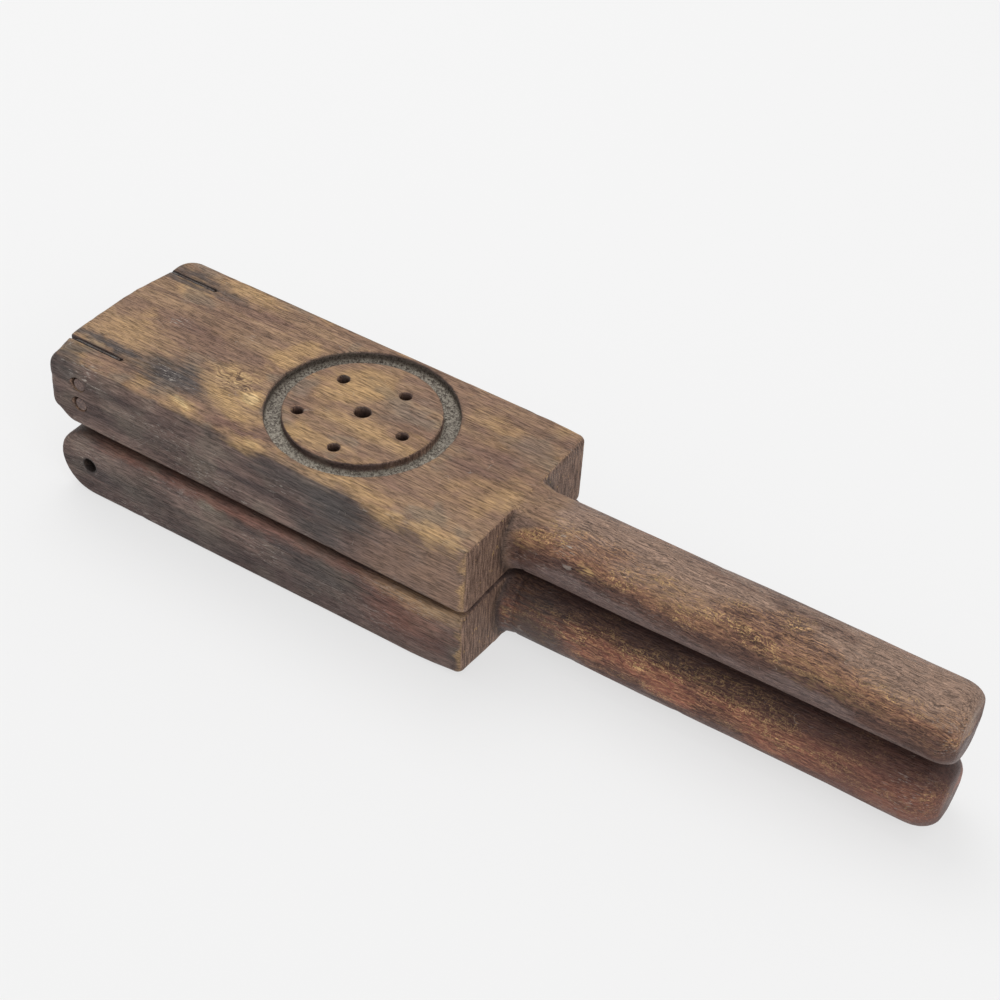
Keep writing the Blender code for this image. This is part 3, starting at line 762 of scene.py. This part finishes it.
def end_grain(f, colour, seed):
    """Specks, upright streaks and small pale chips where a board's end shows."""
    start = f.mapped(f.coords, (0, seed * 9.0, 0))
    streaks = f.step(f.noise(start, (0.8, 1.5, 0.14), 3.0, 0.65), 0.35, 0.65)
    specks = f.step(f.noise(start, 1.7, 2.0, 0.7), 0.38, 0.62)
    end = f.mix(streaks, DARK_BROWN, END_LIGHT)
    end = f.mix(f.times(specks, 0.4), end, END_SPECK)
    chips = f.step(f.noise(start, (0.7, 0.45, 0.3), 2.0), 0.665, 0.70)
    end = f.mix(f.times(chips, 0.8), end, GOLD)
    on_board = f.step(f.x, 176.0, 168.0)
    return f.mix(f.times(f.step(f.facing((1, 0, 0)), 0.6, 0.92), on_board), colour, end)


def handle_tones(f, seed, middle_y, middle_z, side, bare_top, spread):
    """One tone above, golden ray flecks along the near side, then a band of painted shade where it turns under and
    a paler painted sheen beneath.

    A spread below 1 moves the flecks and the dark part further round the handle.
    """
    start = f.mapped(f.coords, (seed * 60.0, seed * 17.0, 0))
    flow = f.pushed(f.pushed(start, 0.06, (8, 4, 4), 1.0), 0.45, (2.4, 1.4, 1.4))
    fine = f.noise(flow, (0.10, 2.4, 2.4), 2.0, 0.7)
    short = f.noise(flow, (0.26, 2.6, 2.6), 2.0, 0.6)
    curls = f.noise(f.pushed(start, 0.3, (6, 4, 4)), (0.55, 0.8, 0.8), 1.0)
    cloud = f.noise(start, (0.035, 0.10, 0.10), 3.0)
    across = f.plus(f.y, -middle_y)
    height = f.plus(f.z, -middle_z)
    # 0 straight up, growing towards the near side, then on underneath.
    angle = f.math("ARCTAN2", f.times(across, -1.0), height)
    angle = f.times(f.plus(angle, f.times(f.plus(cloud, -0.5), 1.6)), spread)
    aside = f.math("ABSOLUTE", angle)
    colour = f.mix(f.step(aside, 0.3, 0.95), bare_top, side)
    colour = f.mix(f.times(f.step(cloud, 0.5, 0.64), 0.6), colour, HANDLE_DARK_AND_SHADE)
    # Painted shade: a dark band where the handle turns under.
    colour = f.mix(f.times(f.step(aside, 0.98, 1.3), 0.85), colour, HANDLE_DARK_AND_SHADE)
    # Painted sheen: the underside made paler, as if lit from the pale floor.
    colour = f.mix(f.step(aside, 1.4, 1.8), colour, PAINTED_HANDLE_SHEEN)
    flecked = f.times(f.step(angle, 0.15, 0.5), f.step(angle, 1.4, 0.95))
    gold = f.times(f.step(short, 0.46, 0.60), f.plus(f.times(flecked, 0.38), 0.08))
    colour = f.mix(gold, colour, HANDLE_GOLD)
    curl = f.step(f.math("ABSOLUTE", f.plus(curls, -0.5)), 0.045, 0.015)
    here = f.step(f.noise(start, (0.06, 0.16, 0.16), 1.0), 0.48, 0.58)
    colour = f.mix(f.times(curl, here, flecked, 0.8), colour, GOLD)
    light = f.plus(f.times(fine, 2.9), f.times(short, 1.4), -1.15)
    return f.lit(colour, f.math("MAXIMUM", light, 0.3))


def press_wood():
    """The lower paddle: board, handle, pivot hole and painted shade on the top face round the dome."""
    f = Finish("worn_press_paddle_wood", PRESS_PLACE)
    light, relief, broad = f.grain(4)
    blotch = f.noise(f.mapped(f.coords, (50, 0, 0)), 0.055, 3.0)
    side = board_side(f, broad, blotch)
    # Painted shade: the sides darker towards the floor.
    side = f.mix(f.times(f.step(f.z, 14.0, 1.0), 0.5), side, SIDE_DARK)
    for table, tone in ((PRESS_RED, REDDISH), (PRESS_GOLD_AND_CORNER_HIGHLIGHT, GOLD), (PRESS_MARKS, GREY_STAIN),
                        (PRESS_OLIVE, OLIVE)):
        side = f.mix(f.patches(table), side, tone)
    colour = end_grain(f, side, 3)
    colour = f.lit(colour, light)
    on_handle = f.step(f.x, BOARD_LENGTH - 0.2, BOARD_LENGTH + 3.5)
    colour = f.mix(on_handle, colour, press_handle(f, blotch))
    colour = f.mix(f.times(f.scratches(5), 0.22), colour, SCUFF)
    colour = f.mix(f.rubbed(PRESS_RUBBED), colour, SCUFF)
    colour = crease(f, colour, PRESS_HANDLE_Y, PRESS_HANDLE_Z)
    # Painted shade on the top face under the upper board, stronger towards the dome.
    seat = f.times(f.step(f.z, 23.6, 24.9), f.step(f.x, BOARD_LENGTH - 2, BOARD_LENGTH - 10))
    from_dome = f.away_from(f.uneven, (1, 1, 0), (*DRAIN_CENTRE, 0))
    seat = f.times(seat, f.step(from_dome, 40.0, 24.0, 0.55, 0.85))
    colour = f.mix(seat, colour, DARK_BROWN)
    bore = f.away_from(f.coords, (1, 0, 1), (PIVOT_INSET, 0, PRESS_BOARD_HEIGHT / 2))
    colour = f.mix(f.step(bore, 3.6, 2.4, 0.0, 0.9), colour, NEAR_BLACK)
    roughness = f.plus(f.step(blotch, 0.3, 0.7, 0.5, 0.72), f.times(on_handle, -0.12))
    return f.finish(colour, roughness, f.bump(relief, 0.2), Specular_IOR_Level=WOOD_SHEEN)


def press_handle(f, blotch):
    """The lower handle's russet, with painted shade along its top under the other handle, and maroon at its end.
    """
    # Its top takes the dark tone, as painted shade under the upper handle.
    handle = handle_tones(f, 3, PRESS_HANDLE_Y, PRESS_HANDLE_Z, HANDLE_RUSSET, HANDLE_DARK_AND_SHADE, 0.64)
    # More painted shade along the top, where the upper handle hangs over it.
    height = f.plus(f.z, f.times(f.plus(blotch, -0.5), 5.0))
    handle = f.mix(f.step(height, 18.5, 22.0, 0.0, 0.6), handle, HANDLE_SHADE)
    handle = f.mix(f.patches(PRESS_HANDLE_GREY), handle, GREY_STAIN)
    return f.mix(f.patches(PRESS_HANDLE_MAROON), handle, HANDLE_MAROON)


def dome_wood():
    """Turned wood with faint rings, darkened by juice in its lower part."""
    f = Finish("turned_dome_wood", PRESS_PLACE)
    light, relief, broad = f.grain(7)
    from_axis = f.away_from(f.coords, (1, 1, 0), (*DRAIN_CENTRE, 0))
    rings = f.math("SINE", f.times(from_axis, 5.2))
    blotch = f.noise(f.uneven, 0.09, 3.0)
    colour = f.mix(broad, PURPLE_BROWN, TAN)
    colour = f.mix(f.step(blotch, 0.42, 0.62, 0.0, 0.6), colour, GREY_STAIN)
    colour = f.mix(f.step(f.z, 29.0, 25.5, 0.0, 0.8), colour, DARK_BROWN)
    colour = f.lit(colour, f.plus(light, f.times(rings, 0.04)))
    relief = f.plus(relief, f.times(rings, 0.5))
    return f.finish(colour, f.step(blotch, 0.3, 0.7, 0.45, 0.65), f.bump(relief, 0.1))


def peg_wood():
    """The pegs' speckled end grain."""
    f = Finish("peg_end_grain", DRAIN_PLACE)
    speck = f.noise(f.coords, 1.5, 3.0)
    colour = f.mix(f.step(speck, 0.35, 0.7), SIDE_DARK, SIDE_TONE)
    return f.finish(colour, 0.7, f.bump(speck, 0.1))


def dark_iron(name, place):
    """Dull iron with rust clouds and dark pits."""
    f = Finish(name, place)
    rust = f.step(f.noise(f.coords, 0.35, 4.0, 0.6), 0.42, 0.66)
    pits = f.step(f.noise(f.coords, 1.8, 3.0), 0.5, 0.7)
    colour = f.mix(f.times(rust, 0.7), IRON_GREY, RUST)
    colour = f.mix(f.times(pits, 0.6), colour, NEAR_BLACK)
    f.link(f.step(rust, 0.0, 1.0, 0.7, 0.1), f.shader.inputs["Metallic"])
    return f.finish(colour, f.step(rust, 0.0, 1.0, 0.42, 0.8), f.bump(pits, 0.15))


# ---------------------------------------------------------------- pieces

def add_piece(name, mesh, material, body, node):
    """Give a mesh its finish, and put it on its body in place of its CAD node."""
    piece = bpy.data.objects.new(name, mesh)
    bpy.context.collection.objects.link(piece)
    mesh.materials.clear()
    mesh.materials.append(material)
    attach(piece, body)
    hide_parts(node)


def make_paddles():
    drain = fine_mesh("drain_paddle", DRAIN_PLACE, WOOD_VOXEL, shape_drain_paddle)
    add_piece("drain_paddle_wood", drain, drain_wood(), "upper_paddle", "drain_paddle")
    press = fine_mesh("press_paddle", PRESS_PLACE, WOOD_VOXEL, shape_press_paddle)
    add_piece("press_paddle_wood", press, press_wood(), "lower_paddle", "press_paddle")


def make_plates():
    finish = dark_iron("plate_iron", DRAIN_PLACE)
    for side in ("front", "rear"):
        node = side + "_hinge_plate"
        mesh = fine_mesh(node, DRAIN_PLACE, IRON_VOXEL, shape_iron)
        add_piece(side + "_plate_iron", mesh, finish, "upper_paddle", node)


def make_rod(name, node, finish, body):
    """A round rod along Y with eased ends, the size of its CAD node."""
    low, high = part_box(node)
    radius = (high.x - low.x) / 2
    centre = (low + high) / 2
    bm = bmesh.new()
    turn = Matrix.Translation(centre) @ Matrix.Rotation(pi / 2, 4, "X")
    bmesh.ops.create_cone(bm, cap_ends=True, segments=48, radius1=radius, radius2=radius,
                          depth=high.y - low.y, matrix=turn)
    ends = [edge for edge in bm.edges if abs(edge.verts[0].co.y - edge.verts[1].co.y) < TINY]
    bmesh.ops.bevel(bm, geom=ends, offset=ROD_BEVEL, segments=4, profile=0.5, affect="EDGES",
                    material=-1)
    mesh = bpy.data.meshes.new(name)
    bm.to_mesh(mesh)
    bm.free()
    mesh.shade_smooth()
    mesh.set_sharp_from_angle(angle=radians(40))
    add_piece(name, mesh, finish, body, node)


def make_pegs():
    finish = peg_wood()
    for side in ("front", "rear"):
        for level in ("upper", "lower"):
            make_rod(f"{side}_{level}_peg_wood", f"{side}_{level}_peg", finish, "upper_paddle")


def make_dome():
    """The pressing dome, its CAD shape with smooth shading."""
    mesh = node_copy("press_dome", Matrix.Identity(4))
    mesh.shade_smooth()
    add_piece("press_dome_wood", mesh, dome_wood(), "lower_paddle", "press_dome")


# ---------------------------------------------------------------- stage

def make_floor():
    """A wide sheet of pale paper that glows a little, so that shadows on it stay soft."""
    bm = bmesh.new()
    bmesh.ops.create_grid(bm, x_segments=2, y_segments=2, size=FLOOR_HALF_SIZE)
    mesh = bpy.data.meshes.new("floor")
    bm.to_mesh(mesh)
    bm.free()
    floor = bpy.data.objects.new("floor", mesh)
    floor.location.z = CAD_BOX[0][2] - FLOOR_GAP
    bpy.context.collection.objects.link(floor)
    paper = bpy.data.materials.new("floor_paper")
    paper.use_nodes = True
    shader = paper.node_tree.nodes["Principled BSDF"]
    shader.inputs["Base Color"].default_value = (0.24, 0.24, 0.24, 1)
    shader.inputs["Roughness"].default_value = 0.9
    shader.inputs["Emission Color"].default_value = (1, 1, 1, 1)
    shader.inputs["Emission Strength"].default_value = 0.64
    mesh.materials.append(paper)


def make_light(name, place, size, power):
    """A round softbox that faces the squeezer."""
    lamp = bpy.data.lights.new(name, "AREA")
    lamp.shape = "DISK"
    lamp.size = size
    lamp.energy = power
    made = bpy.data.objects.new(name, lamp)
    made.location = place
    aim = Vector(LIGHT_TARGET) - Vector(place)
    made.rotation_euler = aim.to_track_quat("-Z", "Y").to_euler()
    bpy.context.collection.objects.link(made)


def make_lights():
    """An even room, a softbox above and a weaker one off the handles' end."""
    world = bpy.data.worlds.new("soft_room")
    world.use_nodes = True
    background = world.node_tree.nodes["Background"]
    background.inputs["Color"].default_value = (1, 1, 1, 1)
    background.inputs["Strength"].default_value = 0.62
    bpy.context.scene.world = world
    make_light("high_softbox", (-0.45, 0.35, 1.3), 1.0, 8.0)
    make_light("side_softbox", (1.1, -0.6, 0.9), 0.9, 4.5)
    bpy.context.scene.view_settings.view_transform = "Standard"


def make_camera():
    """Looks down at the near side and the handle ends, rolled three degrees."""
    lens = bpy.data.cameras.new("camera")
    lens.lens = CAMERA_LENS
    lens.sensor_width = 36
    camera = bpy.data.objects.new("camera", lens)
    start = PRESS_PLACE @ CAMERA_START
    forward = (PRESS_PLACE @ CAMERA_TARGET - start).normalized()
    level = forward.cross(Vector((0, 0, 1))).normalized()
    upright = level.cross(forward)
    right = cos(CAMERA_ROLL) * level + sin(CAMERA_ROLL) * upright
    up = cos(CAMERA_ROLL) * upright - sin(CAMERA_ROLL) * level
    turn = Matrix((right, up, -forward)).transposed().to_4x4()
    camera.matrix_world = Matrix.Translation(start) @ turn
    bpy.context.collection.objects.link(camera)
    bpy.context.scene.camera = camera


make_floor()
make_lights()
make_camera()
make_paddles()
make_plates()
make_pegs()
make_rod("pivot_rod_iron", "pivot_pin", dark_iron("rod_iron", PRESS_PLACE), "lower_paddle")
make_dome()
